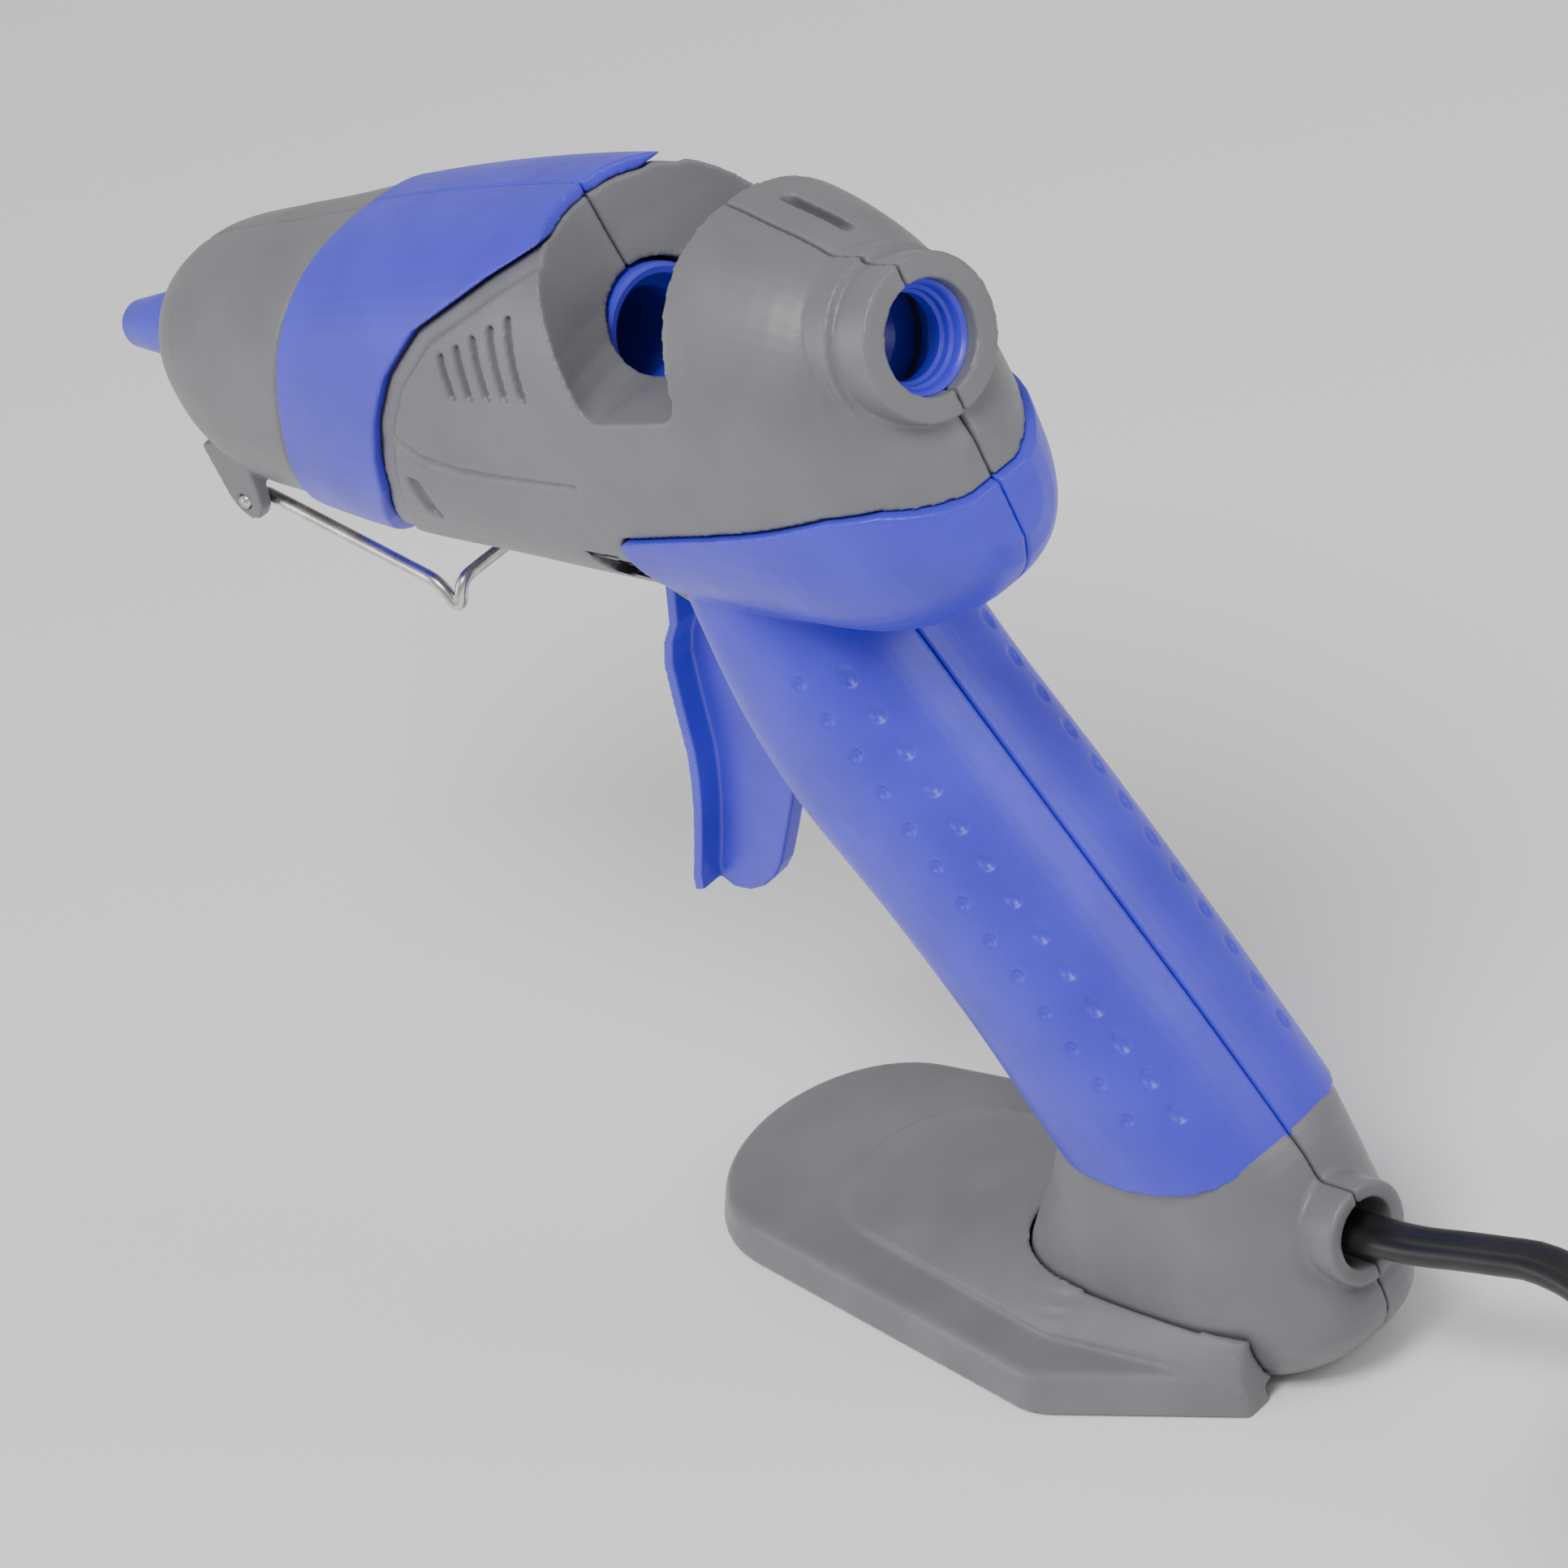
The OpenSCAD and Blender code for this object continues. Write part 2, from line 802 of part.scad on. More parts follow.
// A flat cord swept along its route with an oval section
function across(path, i) = let (a = path[max(i - 1, 0)], b = path[min(i + 1, len(path) - 1)], d = b - a,
    side = [-d[1], d[0], 0]) side / norm(side);
function along(path, i) = let (a = path[max(i - 1, 0)], b = path[min(i + 1, len(path) - 1)]) (b - a) / norm(b - a);
module flat_tube(path, sides = 10) {
    rings = len(path);
    points = [for (i = [0:rings - 1], k = [0:sides - 1])
        let (t = 360 * k / sides, s = across(path, i), n = cross(along(path, i), s))
        path[i] + s * cord_w / 2 * cos(t) + n * cord_t / 2 * sin(t)];
    walls = [for (i = [0:rings - 2], k = [0:sides - 1])
        let (a = i * sides + k, b = i * sides + (k + 1) % sides) [a, a + sides, b + sides, b]];
    ends = [[for (k = [0:sides - 1]) k], [for (k = [sides - 1:-1:0]) (rings - 1) * sides + k]];
    polyhedron(points, concat(walls, ends));
}

module cord() {
    color(rubber)
        flat_tube(cord_path);
}

module cord_tail() {
    color(rubber)
        flat_tube(tail_path);
}

module cord_coil() {
    color(rubber)
        translate([coil_x, coil_y, 0])
            difference() {
                cylinder(h = coil_h, r = coil_out, $fn = 96);
                translate([0, 0, -1])
                    cylinder(h = coil_h + 2, r = coil_in, $fn = 96);
            }
}

module plug_body() {
    color(rubber)
        translate([plug_x, plug_y, plug_z])
            rotate([0, 0, plug_turn])
                linear_extrude(height = 11)
                    polygon([[0, -4], [8, -5], [16, -9], [34, -12], [36, -11], [36, 11], [34, 12], [16, 9], [8, 5], [0, 4]]);
}

module plug_blades() {
    color(steel)
        translate([plug_x, plug_y, plug_z])
            rotate([0, 0, plug_turn])
                for (y = [-6.35, 6.35])
                    translate([36, y - 0.75, 2.4])
                        cube([16, 1.5, 6.2]);
}

left_shell();
right_shell();
hood(-1);  // left_hood
hood(1);  // right_hood
grip(-1);  // left_grip
grip(1);  // right_grip
base_plate();
base_pads();
base_screws();
housing_screws();
trigger();
trigger_pin();
trigger_spring();
feed_link();
link_pin();
feed_carriage();
carriage_pin();
rear_guide();
inlet_sleeve();
sleeve_clamp();
melt_chamber();
heater_cartridge();
heater_clip();
chamber_holders();
nozzle();
nozzle_cover();
wire_stand();
cord_clamp();
clamp_screws();
lead_wires();
crimp_sleeves();
cord();
cord_coil();
cord_tail();
plug_body();
plug_blades();
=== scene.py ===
"""Hot melt glue gun on its stand base: moulded shells, soft blue grip, wire rest and cord.

Sizes are in millimetres and become metres in new_piece. Barrel places are (a, y, u): a runs to the rear
from the collar's face and u is up. Handle places are (s, y, b): s runs down the handle and b to the back.
"""
import json
import math

import bmesh
import bpy
from mathutils import Matrix, Vector


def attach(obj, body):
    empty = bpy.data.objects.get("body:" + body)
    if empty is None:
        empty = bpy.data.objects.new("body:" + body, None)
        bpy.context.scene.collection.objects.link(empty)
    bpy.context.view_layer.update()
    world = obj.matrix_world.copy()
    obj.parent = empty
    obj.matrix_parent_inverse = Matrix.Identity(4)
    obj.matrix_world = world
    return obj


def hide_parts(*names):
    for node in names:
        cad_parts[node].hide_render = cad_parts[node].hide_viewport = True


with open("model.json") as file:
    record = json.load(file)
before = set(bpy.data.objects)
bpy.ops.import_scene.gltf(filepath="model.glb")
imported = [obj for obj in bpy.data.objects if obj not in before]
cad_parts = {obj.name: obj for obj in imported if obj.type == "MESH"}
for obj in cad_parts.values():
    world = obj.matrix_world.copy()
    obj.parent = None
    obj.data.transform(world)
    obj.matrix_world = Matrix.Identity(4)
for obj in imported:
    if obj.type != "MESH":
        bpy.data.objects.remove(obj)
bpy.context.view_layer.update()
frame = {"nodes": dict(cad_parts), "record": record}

MM = 0.001
FINE = 0.42
COLLAR = (47.0, 175.4)
TILT = math.radians(10)
HANDLE_TOP = (26.9, 109.9)
LEAN = math.radians(30)
SEAM = 0.14
RING_POINTS = 64


# ---------- camera, floor and light ----------

def make_camera():
    right = Vector((0.67801, 0.67250, -0.29673))
    up = Vector((-0.20249, 0.55893, 0.80411))
    back = Vector((0.70662, -0.48511, 0.51513))
    place = Vector((752.2, -533.04, 647.28)) * MM
    camera = bpy.data.objects.new("view", bpy.data.cameras.new("view"))
    bpy.context.collection.objects.link(camera)
    camera.matrix_world = Matrix((
        (right.x, up.x, back.x, place.x),
        (right.y, up.y, back.y, place.y),
        (right.z, up.z, back.z, place.z),
        (0, 0, 0, 1)))
    camera.data.sensor_width = 36
    camera.data.lens = 167.27
    camera.data.clip_start = 0.05
    camera.data.clip_end = 20
    bpy.context.scene.camera = camera


def make_light(name, place, aim, size, power):
    light = bpy.data.lights.new(name, "AREA")
    light.size = size
    light.energy = power
    lamp = bpy.data.objects.new(name, light)
    bpy.context.collection.objects.link(lamp)
    lamp.location = place
    lamp.rotation_euler = (Vector(aim) - Vector(place)).to_track_quat("-Z", "Y").to_euler()


def make_studio():
    world = bpy.data.worlds.new("studio")
    bpy.context.scene.world = world
    world.use_nodes = True
    world.node_tree.nodes["Background"].inputs["Color"].default_value = (1, 1, 1, 1)
    world.node_tree.nodes["Background"].inputs["Strength"].default_value = 0.5
    middle = (0, 0, 0.1)
    make_light("key", (0.3, -0.5, 1.1), middle, 0.45, 9.5)
    make_light("side", (1.1, 0.5, 0.7), middle, 0.5, 4)
    make_light("front", (-0.9, -0.9, 0.5), middle, 0.7, 4)
    mesh = bpy.data.meshes.new("floor")
    reach = 6
    mesh.from_pydata([(-reach, -reach, 0), (reach, -reach, 0), (reach, reach, 0), (-reach, reach, 0)], [],
                     [(0, 1, 2, 3)])
    floor = bpy.data.objects.new("floor", mesh)
    bpy.context.collection.objects.link(floor)
    mesh.materials.append(plain_floor())


# ---------- materials ----------

def new_material(name, color, roughness, metallic=0.0):
    material = bpy.data.materials.new(name)
    material.use_nodes = True
    shader = material.node_tree.nodes["Principled BSDF"]
    shader.inputs["Base Color"].default_value = (*color, 1)
    shader.inputs["Roughness"].default_value = roughness
    shader.inputs["Metallic"].default_value = metallic
    return material, shader


def plain_floor():
    return new_material("pale_floor", (0.97, 0.97, 0.97), 0.9)[0]


def add_noise(material, scale, detail=3.0):
    nodes, links = material.node_tree.nodes, material.node_tree.links
    place = nodes.new("ShaderNodeTexCoord")
    noise = nodes.new("ShaderNodeTexNoise")
    noise.inputs["Scale"].default_value = scale
    noise.inputs["Detail"].default_value = detail
    links.new(place.outputs["Object"], noise.inputs["Vector"])
    return noise


def vary_color(material, shader, noise, low, high):
    nodes, links = material.node_tree.nodes, material.node_tree.links
    ramp = nodes.new("ShaderNodeValToRGB")
    ramp.color_ramp.elements[0].position = 0.35
    ramp.color_ramp.elements[1].position = 0.65
    ramp.color_ramp.elements[0].color = (*low, 1)
    ramp.color_ramp.elements[1].color = (*high, 1)
    links.new(noise.outputs["Fac"], ramp.inputs["Fac"])
    links.new(ramp.outputs["Color"], shader.inputs["Base Color"])


def vary_roughness(material, shader, noise, low, high):
    nodes, links = material.node_tree.nodes, material.node_tree.links
    span = nodes.new("ShaderNodeMapRange")
    span.inputs["To Min"].default_value = low
    span.inputs["To Max"].default_value = high
    links.new(noise.outputs["Fac"], span.inputs["Value"])
    links.new(span.outputs["Result"], shader.inputs["Roughness"])


def add_bump(material, shader, noise, strength, distance):
    nodes, links = material.node_tree.nodes, material.node_tree.links
    bump = nodes.new("ShaderNodeBump")
    bump.inputs["Strength"].default_value = strength
    bump.inputs["Distance"].default_value = distance
    links.new(noise.outputs["Fac"], bump.inputs["Height"])
    links.new(bump.outputs["Normal"], shader.inputs["Normal"])


def moulded(name, low, high, rough, grain):
    """Moulded plastic: fine spark-eroded grain, slight colour flow and uneven gloss."""
    material, shader = new_material(name, high, rough)
    vary_color(material, shader, add_noise(material, 60, 2), low, high)
    vary_roughness(material, shader, add_noise(material, 160), rough - 0.07, rough + 0.07)
    add_bump(material, shader, add_noise(material, grain, 2), 0.35, 0.00006)
    return material


def metal(name, low, high, rough):
    material, shader = new_material(name, high, rough, 1.0)
    vary_color(material, shader, add_noise(material, 300, 2), low, high)
    vary_roughness(material, shader, add_noise(material, 700), rough - 0.06, rough + 0.1)
    add_bump(material, shader, add_noise(material, 1500, 2), 0.15, 0.00003)
    return material


MATERIALS = {
    "gray_plastic": moulded("gray_plastic", (0.158, 0.158, 0.168), (0.182, 0.182, 0.194), 0.40, 2600),
    "blue_plastic": moulded("blue_plastic", (0.050, 0.038, 0.62), (0.060, 0.047, 0.72), 0.38, 2400),
    "steel": metal("steel", (0.52, 0.50, 0.46), (0.70, 0.68, 0.64), 0.25),
    "black_rubber": moulded("black_rubber", (0.010, 0.010, 0.011), (0.018, 0.018, 0.019), 0.38, 1800),
    "cast_aluminium": metal("cast_aluminium", (0.50, 0.50, 0.52), (0.62, 0.62, 0.64), 0.45),
    "brass": metal("brass", (0.60, 0.42, 0.16), (0.74, 0.54, 0.24), 0.3),
    "white_ceramic": moulded("white_ceramic", (0.70, 0.70, 0.66), (0.80, 0.80, 0.76), 0.5, 1500),
    "dark_plastic": moulded("dark_plastic", (0.020, 0.020, 0.022), (0.032, 0.032, 0.034), 0.5, 1500),
}


# ---------- places and mesh helpers ----------

def barrel(a, y, u):
    return (COLLAR[0] + a * math.cos(TILT) - u * math.sin(TILT), y,
            COLLAR[1] + a * math.sin(TILT) + u * math.cos(TILT))


def handle(s, y, b):
    return (HANDLE_TOP[0] + s * math.sin(LEAN) + b * math.cos(LEAN), y,
            HANDLE_TOP[1] - s * math.cos(LEAN) + b * math.sin(LEAN))


def upright(x, y, z):
    return (x, y, z)


def new_piece(name, points, faces):
    mesh = bpy.data.meshes.new(name)
    mesh.from_pydata([(x * MM, y * MM, z * MM) for x, y, z in points], [], faces)
    mesh.update()
    piece = bpy.data.objects.new(name, mesh)
    bpy.context.collection.objects.link(piece)
    return piece


def loft(name, rings):
    """A closed solid through rings of equal length."""
    count = len(rings[0])
    points = [p for ring in rings for p in ring]
    faces = []
    for i in range(len(rings) - 1):
        for k in range(count):
            m = (k + 1) % count
            faces.append((i * count + k, i * count + m, (i + 1) * count + m, (i + 1) * count + k))
    faces.append(tuple(range(count - 1, -1, -1)))
    faces.append(tuple((len(rings) - 1) * count + k for k in range(count)))
    piece = new_piece(name, points, faces)
    outward(piece)
    return piece


def outward(piece):
    work = bmesh.new()
    work.from_mesh(piece.data)
    bmesh.ops.recalc_face_normals(work, faces=work.faces)
    work.to_mesh(piece.data)
    work.free()


def prism(name, outline, low, high, place=barrel):
    """A flat outline in the side view, drawn out across y."""
    return loft(name, [[place(p, y, q) for p, q in outline] for y in (low, high)])


def rod(name, start, end, radius, place=barrel, level=0.0):
    """A cylinder along the frame's own axis, or at a level above it."""
    ring = circle((0, 0), radius, RING_POINTS)
    return loft(name, [[place(at, y, level + u) for y, u in ring] for at in (start, end)])


def lathe(name, profile):
    """A turned ring: profile points are (along, radius) round the barrel's axis."""
    count = len(profile)
    angles = turns(72)
    points = [barrel(a, r * math.cos(t), r * math.sin(t)) for t in angles for a, r in profile]
    faces = []
    for i in range(len(angles)):
        j = (i + 1) % len(angles)
        for k in range(count):
            m = (k + 1) % count
            faces.append((i * count + k, i * count + m, j * count + m, j * count + k))
    piece = new_piece(name, points, faces)
    outward(piece)
    return piece


def turns(count):
    return [2 * math.pi * i / count for i in range(count)]


def circle(center, radius, count):
    return [(center[0] + radius * math.cos(t), center[1] + radius * math.sin(t)) for t in turns(count)]


def superellipse(half, top, middle, bottom, power):
    points = []
    for t in turns(RING_POINTS):
        c, s = math.cos(t), math.sin(t)
        reach = (top - middle) if s > 0 else (middle - bottom)
        points.append((math.copysign(abs(c) ** (2 / power), c) * half,
                       middle + math.copysign(abs(s) ** (2 / power), s) * reach))
    return points


def smooth_row(table, at):
    """The table's row at a place, by a smooth curve through its rows."""
    keys = [row[0] for row in table]
    i = max(0, min(len(keys) - 2, sum(k <= at for k in keys) - 1))
    t = (at - keys[i]) / (keys[i + 1] - keys[i])
    before, after = table[max(i - 1, 0)], table[min(i + 2, len(table) - 1)]
    h = keys[i + 1] - keys[i]
    row = []
    for k in range(1, len(table[0])):
        p0, p1, p2, p3 = before[k], table[i][k], table[i + 1][k], after[k]
        d1 = (p2 - p0) / (keys[i + 1] - before[0]) if before is not table[i] else (p2 - p1) / h
        d2 = (p3 - p1) / (after[0] - keys[i]) if after is not table[i + 1] else (p2 - p1) / h
        row.append((2 * t ** 3 - 3 * t ** 2 + 1) * p1 + (t ** 3 - 2 * t ** 2 + t) * h * d1
                   + (3 * t ** 2 - 2 * t ** 3) * p2 + (t ** 3 - t ** 2) * h * d2)
    return row


def steps(low, high, gap):
    count = max(2, round((high - low) / gap))
    return [low + (high - low) * i / count for i in range(count + 1)]


def combine(piece, other, how):
    """Joins, cuts or trims a solid by another one, which is used up."""
    change = piece.modifiers.new("join", "BOOLEAN")
    change.operation = how
    change.solver = "MANIFOLD"
    change.object = other
    apply_changes(piece)
    bpy.data.objects.remove(other)
    return piece


def apply_changes(piece):
    depth = bpy.context.evaluated_depsgraph_get()
    mesh = bpy.data.meshes.new_from_object(piece.evaluated_get(depth))
    piece.modifiers.clear()
    old = piece.data
    piece.data = mesh
    bpy.data.meshes.remove(old)


def copy_of(piece, name):
    other = piece.copy()
    other.data = piece.data.copy()
    other.name = name
    bpy.context.collection.objects.link(other)
    return other


def shade_smooth(piece):
    for face in piece.data.polygons:
        face.use_smooth = True


def soften(piece, voxel, rounds=3):
    """Moulded edges: an even remesh, then a light smoothing."""
    remesh = piece.modifiers.new("even", "REMESH")
    remesh.mode = "VOXEL"
    remesh.voxel_size = voxel * MM
    smooth = piece.modifiers.new("soft", "SMOOTH")
    smooth.factor = 0.5
    smooth.iterations = rounds
    apply_changes(piece)
    shade_smooth(piece)


def finish_piece(piece, name, body, slot, nodes=()):
    piece.name = name
    piece.data.name = name
    piece.data.materials.clear()
    piece.data.materials.append(MATERIALS[slot])
    if nodes:
        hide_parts(*nodes)
    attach(piece, body)
    return piece


# ---------- the gun's forms ----------

# Head sections: place, half width, top, widest level, bottom
HEAD = [
    (-176, 8.5, 8.5, 0, -9), (-174, 12, 11.2, -0.5, -13), (-171, 15.4, 13.8, -1.5, -18),
    (-164, 18.6, 16.5, -3, -24.2),
    (-150, 20.6, 18.4, -4, -27), (-136, 22.0, 19.6, -4, -29.8), (-118, 23.6, 21.6, -4, -32),
    (-100, 24.4, 23.2, -4, -34), (-82, 24.9, 24.2, -4.5, -36.4), (-64, 25, 24.6, -5.5, -38.8),
    (-45, 24.6, 24.2, -7, -41.6), (-32, 23.8, 21.8, -9, -43.4), (-24, 22.5, 18.4, -11, -44),
    (-16, 19.9, 14.8, -14, -42.8), (-10, 16.6, 10, -18, -40.6), (-5.5, 12.6, 0, -22.5, -38),
    (-2.6, 8.8, -9.5, -25, -35.2), (-1.1, 5.6, -15.5, -25.5, -32)]
HEAD_POWER = 2.35
NOSE_POWER = 2.1
# Handle sections: place down the handle, half width, back, middle, front
HANDLE = [
    (-44, 16.5, -2, -11, -20), (-30, 17.4, -1, -14, -27), (-15, 17.8, 0, -16.5, -34),
    (0, 17.8, 0, -18, -36.5), (20, 18, 0, -17, -34), (40, 18, 0, -17, -33.5),
    (60, 18, 0, -18, -35.5), (84, 17.6, -1, -19, -37.5), (94, 16, -3, -19, -36)]
HANDLE_POWER = 2.6
# Foot sections: height, half width, rear, middle, front
FOOT = [
    (0.4, 14.6, 60, 38, 12), (2.5, 15.6, 67, 38, 8), (7, 16.4, 73, 39, 5), (13, 16.8, 76, 40, 8.5),
    (20, 16.9, 74.2, 42, 13.5), (26, 16.9, 72.2, 44, 18), (33, 16.9, 69.8, 46, 22), (40, 16.6, 67.2, 47, 27),
    (48, 15, 60, 46, 33)]
HOOD_FRONT = [(-112, 34), (-116, 24), (-121, 19), (-125.5, 11), (-130, 2), (-134.5, -6), (-142, -18),
              (-149, -28), (-154, -42)]
HOOD_REAR = [(-139, -42), (-131.5, -29), (-121.5, -21.5), (-113.6, -14), (-109.4, -7.5), (-104.6, -1),
             (-97.5, 6.5), (-88, 13.2), (-71, 19.4), (-58, 23.4), (-52, 34)]
CUFF = [(-58, -20.6), (-44, -19.6), (-30, -18.9), (-15, -18.3), (-8, -19.5), (-2, -22.3), (6, -26), (9, -60),
        (-54, -60), (-57.5, -44), (-59, -34), (-60, -26), (-60, -22)]
WINDOW_FLOOR = [(-64.8, 40), (-62.4, 16), (-61.4, 9), (-60, 5), (-57.6, 2.2), (-54.6, 0.6), (-51, 0),
                (-35, 0), (-33.2, 0.7), (-32.2, 2.4), (-32, 40)]
STRIP_DEPTH = -31.5
ACROSS = 40
GLAND_LEVEL = 25.5
# How deep the hood, the band behind it and the cuff sit in the shells, and the shells' walls
HOOD_SEAT, BAND_SEAT, CUFF_SEAT = 1.35, 0.55, 1.3
FRONT_WALL, REAR_WALL = 3.0, 3.2
TRIGGER_PIVOT, TRIGGER_TIP = (-64, -42), (-59.42, -18.44)
# The wire rest: pivot, bare radius, half width between its arms and reach of its ends
WIRE_PIVOT = (-167, -22.6)
WIRE_RADIUS, WIRE_HALF, WIRE_END = 1.05, 12, 16


def head_form(grow=0.0, low=-176.0, high=-0.9, top=None):
    """The head, or a length of it, grown all over by a margin; top lowers its roof."""
    rings = []
    for a in sorted(set(steps(low, high, 3) + [row[0] for row in HEAD if low < row[0] < high])):
        half, up, middle, down = smooth_row(HEAD, a)
        power = HEAD_POWER if a > -120 else NOSE_POWER + (HEAD_POWER - NOSE_POWER) * max(0, (a + 150) / 30)
        if top is not None:
            up, middle = min(up, top), min(middle, top - 6)
            down = min(down, middle - 4)
        ring = superellipse(half + grow, up + grow, middle, down - grow, power)
        end_shift = grow * max(0.0, min(1.0, (a + 15) / 13)) - grow * max(0.0, min(1.0, (-168 - a) / 6))
        rings.append([barrel(a + end_shift, y, u) for y, u in ring])
    return loft("head", rings)


def handle_form(grow=0.0, low=-44.0, high=94.0):
    rings = []
    for s in steps(low, high, 4):
        half, back, middle, front = smooth_row(HANDLE, s)
        ring = superellipse(half + grow, back + grow, middle, front - grow, HANDLE_POWER)
        rings.append([handle(s, y, b) for y, b in ring])
    return loft("handle", rings)


def foot_form(grow=0.0):
    rings = []
    for z in steps(FOOT[0][0], FOOT[-1][0], 2.5):
        half, back, middle, front = smooth_row(FOOT, z)
        ring = superellipse(half + grow, back + grow, middle, front - grow, 2.7)
        rings.append([(x, y, z) for y, x in ring])
    return loft("foot", rings)


def window_cut():
    rings = []
    for y in steps(-34, 34, 2):
        bow = 8.5 * min(1.0, abs(y) / 25) ** 2
        ring = []
        for a, u in WINDOW_FLOOR:
            share = max(0.0, min(1.0, (-50 - a) / 11))
            ring.append(barrel(a + bow * share, y, u))
        rings.append(ring)
    return loft("window", rings)


def near_surface(cutter, depth):
    """Leaves only the part of a cutter that lies outside the head's form less a depth."""
    return combine(cutter, head_form(-depth), "DIFFERENCE")


def lug(side):
    """The ear beside the nose that carries one end of the wire rest."""
    outline = [(-171, -12), (-161, -12), (-162, -20), (-163.4, -24), (-165.4, -25.8), (-167.6, -25.8),
               (-169.4, -24.4), (-170.5, -22)]
    ear = prism("lug", outline, side * 15.6, side * 13.2)
    eye = prism("eye", circle(WIRE_PIVOT, 1.3, 24), side * 18, side * 11)
    return combine(ear, eye, "DIFFERENCE")


def body_form():
    body = head_form()
    parts = [rod("collar", -20, 0, 12), rod("step", -24, -7, 13.3), handle_form(-1.2), foot_form(),
             rod("gland", 58, 76.4, 8, upright, GLAND_LEVEL), lug(1), lug(-1)]
    throat = [(-74, -30), (-40, -36), (-40, -60), (-64, -62), (-67.5, -50), (-70.5, -42), (-80, -36)]
    parts.append(prism("throat", throat, -9.5, 9.5))
    for part in parts:
        combine(body, part, "UNION")
    return body


def vent(index):
    a = -82.5 + 4.3 * index
    top = 10.2 + 1.25 * index
    return [(a, 3.2), (a + 1.5, 3.0), (a + 0.7, top), (a - 0.8, top - 0.5)]


def side_marks():
    """Shallow recesses that show on both sides of the head."""
    marks = []
    for side in (-1, 1):
        for index in range(5):
            marks.append(near_surface(prism("vent", vent(index), side * 15, side * 32), 1.5))
        slot = [(-106, -18.5), (-103.4, -19.2), (-102.2, -11.4), (-104.8, -10.8)]
        marks.append(near_surface(prism("slot", slot, side * 15, side * 32), 1.2))
        ridge = [(-109, -4.0), (-103, -2.7), (-101, -3.6), (-97, -6.4), (-89, -8.4), (-61, -10.4),
                 (-61, -11.4), (-89, -10.2), (-97, -8.8), (-102, -5.8), (-104, -5.2), (-109, -6.6)]
        marks.append(near_surface(prism("ridge", ridge, side * 12, side * 32), 0.7))
    return marks


def hood_region(spread, name):
    outline = [(a - spread * 0.5, u) for a, u in HOOD_FRONT]
    outline += [(a + spread, u - spread * 0.6) for a, u in HOOD_REAR]
    return prism(name, outline, -ACROSS, ACROSS)


def cuff_region(spread):
    return prism("cuff", [(a - spread, u + (spread if u > -24 else 0)) for a, u in CUFF],
                 -ACROSS, ACROSS)


def make_shells():
    body = body_form()
    cutters = []
    recess = combine(head_form(6), hood_region(0.45, "hood_recess"), "INTERSECT")
    cutters.append(combine(recess, head_form(-HOOD_SEAT), "DIFFERENCE"))
    band = combine(head_form(5), hood_region(3.2, "hood_band"), "INTERSECT")
    cutters.append(combine(band, head_form(-BAND_SEAT), "DIFFERENCE"))
    under = combine(head_form(6, -66), cuff_region(0.4), "INTERSECT")
    cutters.append(combine(under, head_form(-CUFF_SEAT), "DIFFERENCE"))
    cutters += side_marks()
    cutters.append(window_cut())
    cutters.append(rod("channel", -100, -26, 11.1))
    cutters.append(rod("rear_bore", -30, -5, 10.5))
    cutters.append(rod("collar_hole", -10, 3, 8.2))
    cutters.append(rod("nozzle_hole", -182, -160, 5.4))
    cutters.append(head_form(-FRONT_WALL, -171, -70))
    cutters.append(head_form(-REAR_WALL, -72, -8, top=-15))
    arm_slot = [(-74, -24), (-12, -24), (-12, -8), (-50, -8), (-50, -12), (-74, -12)]
    cutters.append(prism("arm_slot", arm_slot, -3.2, 3.2))
    mouth = [(-73, -28), (-57, -34), (-48, -62), (-80, -62), (-77, -40)]
    cutters.append(prism("mouth", mouth, -7.2, 7.2))
    cutters.append(prism("trigger_slot", [(-97, -50), (-34, -50), (-44, -98), (-97, -98)], -2.4, 2.4))
    cutters.append(handle_form(-4.6, -20, 84))
    cutters.append(rod("gland_hole", 48, 80, 5.4, upright, GLAND_LEVEL))
    notch = [(-27, 24), (-17, 22), (-15.5, 13), (-20, 12.5), (-27.5, 15.8)]
    cutters.append(prism("top_notch", notch, 5.2, 7.4))
    for cutter in cutters:
        combine(body, cutter, "DIFFERENCE")
    split_pair(body, "shell", "gray_plastic", FINE)


def split_pair(body, word, slot, voxel, rounds=3):
    """Cuts a full form along the seam into its left and right pieces."""
    box = [(-400, -200), (400, -200), (400, 400), (-400, 400)]
    right = copy_of(body, "right")
    combine(body, prism("half", box, -200, -SEAM, upright), "INTERSECT")
    combine(right, prism("half", box, SEAM, 200, upright), "INTERSECT")
    for piece, side in ((body, "left"), (right, "right")):
        soften(piece, voxel, rounds)
        finish_piece(piece, f"{side}_{word}_skin", "housing", slot, [f"{side}_{word}"])


def make_hood():
    hood = combine(head_form(0.75), hood_region(0, "hood_region"), "INTERSECT")
    combine(hood, head_form(-1.2), "DIFFERENCE")
    combine(hood, window_cut(), "DIFFERENCE")
    split_pair(hood, "hood", "blue_plastic", FINE * 0.85)


def dimple(s, y, b, normal, long, wide, depth):
    """A shallow dent whose floor follows the grip's own slope; normal is (y, b)."""
    rings = []
    for j in range(1, 8):
        t = math.pi * j / 8
        deep = depth * math.cos(t)
        ring = []
        for v in turns(14):
            cross = wide * math.sin(t) * math.sin(v)
            ring.append(handle(s + long * math.sin(t) * math.cos(v), y + deep * normal[0] - cross * normal[1],
                               b + deep * normal[1] + cross * normal[0]))
        rings.append(ring)
    return loft("dimple", rings)


